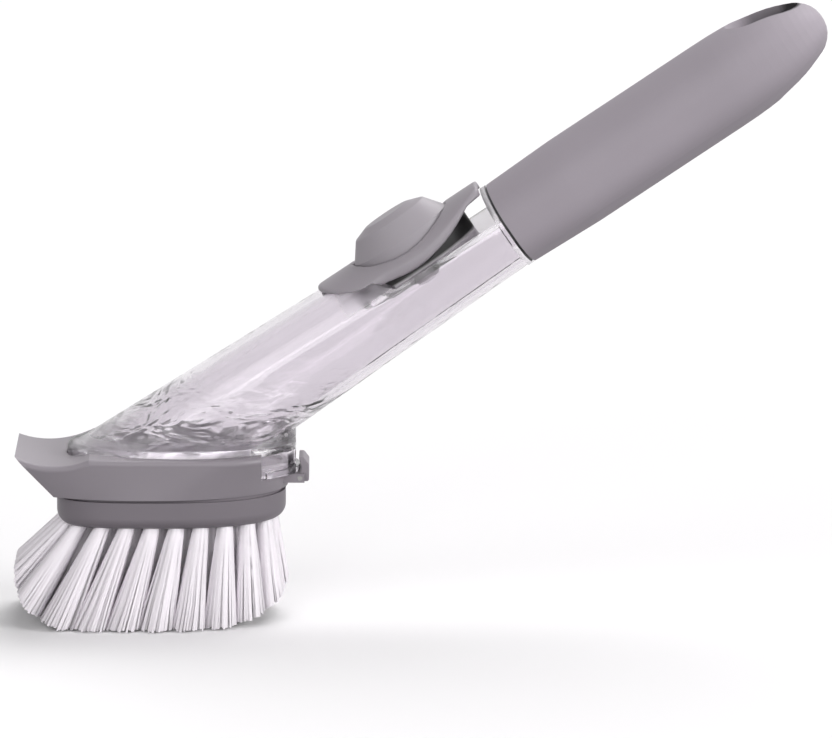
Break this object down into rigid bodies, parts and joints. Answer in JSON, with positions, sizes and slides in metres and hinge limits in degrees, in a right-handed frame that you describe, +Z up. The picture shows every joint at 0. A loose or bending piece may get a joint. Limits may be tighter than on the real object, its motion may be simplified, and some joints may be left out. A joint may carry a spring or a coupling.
{
  "type": "dish wand",
  "caption": "Soap-dispensing dish wand: clear reservoir handle with a pump button, pull-off grey grip with a hanging slot, and a detachable oval brush head with a scraper beak and a latch.",
  "frame": {"origin": "on the flat that the bristle tips are cut to, under the middle of the brush head, on the flat tip of the first tuft of the middle row", "axes": "+X from the scraper beak towards the grip, +Y across to the wand's left side when the button faces up and the beak points away, +Z up, away from the surface that the tips stand on"},
  "size_m": [0.2358, 0.05, 0.1806],
  "materials": {
    "clear_plastic": "clear, polished",
    "grey_plastic": "fine matte moulded plastic",
    "grip_grey": "soft matte moulded grip",
    "core_grey": "plain moulded plastic",
    "black_seal": "matte rubber",
    "pale_rubber": "matte silicone",
    "white_bristle": "straight white filaments, cut flat at the tips",
    "steel_wire": "drawn wire"
  },
  "bodies": {
    "wand": {"reservoir_tube": "clear_plastic", "neck_seal": "black_seal", "base_plate": "clear_plastic", "base_gasket": "pale_rubber", "outlet_valve": "pale_rubber", "valve_retainer": "core_grey", "button_bezel": "grey_plastic", "pump_base": "core_grey", "pump_gasket": "black_seal", "air_valve": "pale_rubber", "pump_bellows": "pale_rubber", "bellows_ring": "core_grey"},
    "button": {"button_cap": "grey_plastic"},
    "grip": {"grip_sleeve": "grip_grey", "grip_core": "core_grey"},
    "brush_head": {"head_frame": "grey_plastic", "head_seal": "pale_rubber", "brush_block": "grey_plastic", "bristles_outer": "white_bristle", "bristles_middle": "white_bristle", "bristles_center": "white_bristle", "tuft_staples": "steel_wire", "latch_pin": "steel_wire"},
    "latch": {"release_latch": "grey_plastic"}
  },
  "joints": [
    {"name": "button_press", "type": "slide", "parent": "wand", "child": "button", "axis": [0.5592, 0, -0.829], "range_m": [0, 0.004], "stiffness_N_per_m": 1000, "deforming": ["pump_bellows"]},
    {"name": "grip_pull", "type": "slide", "parent": "wand", "child": "grip", "axis": [0.829, 0, 0.5592], "range_m": [0, 0.03]},
    {"name": "head_pull", "type": "slide", "parent": "wand", "child": "brush_head", "axis": [0, 0, -1], "range_m": [0, 0.01]},
    {"name": "latch_turn", "type": "hinge", "parent": "brush_head", "child": "latch", "pos_m": [0.0374, 0, 0.0421], "axis": [0, 1, 0], "range_deg": [0, 21]}
  ],
  "couplings": [
    {"joint": "latch_turn", "follows": "head_pull", "rad_per_m": 36}
  ]
}
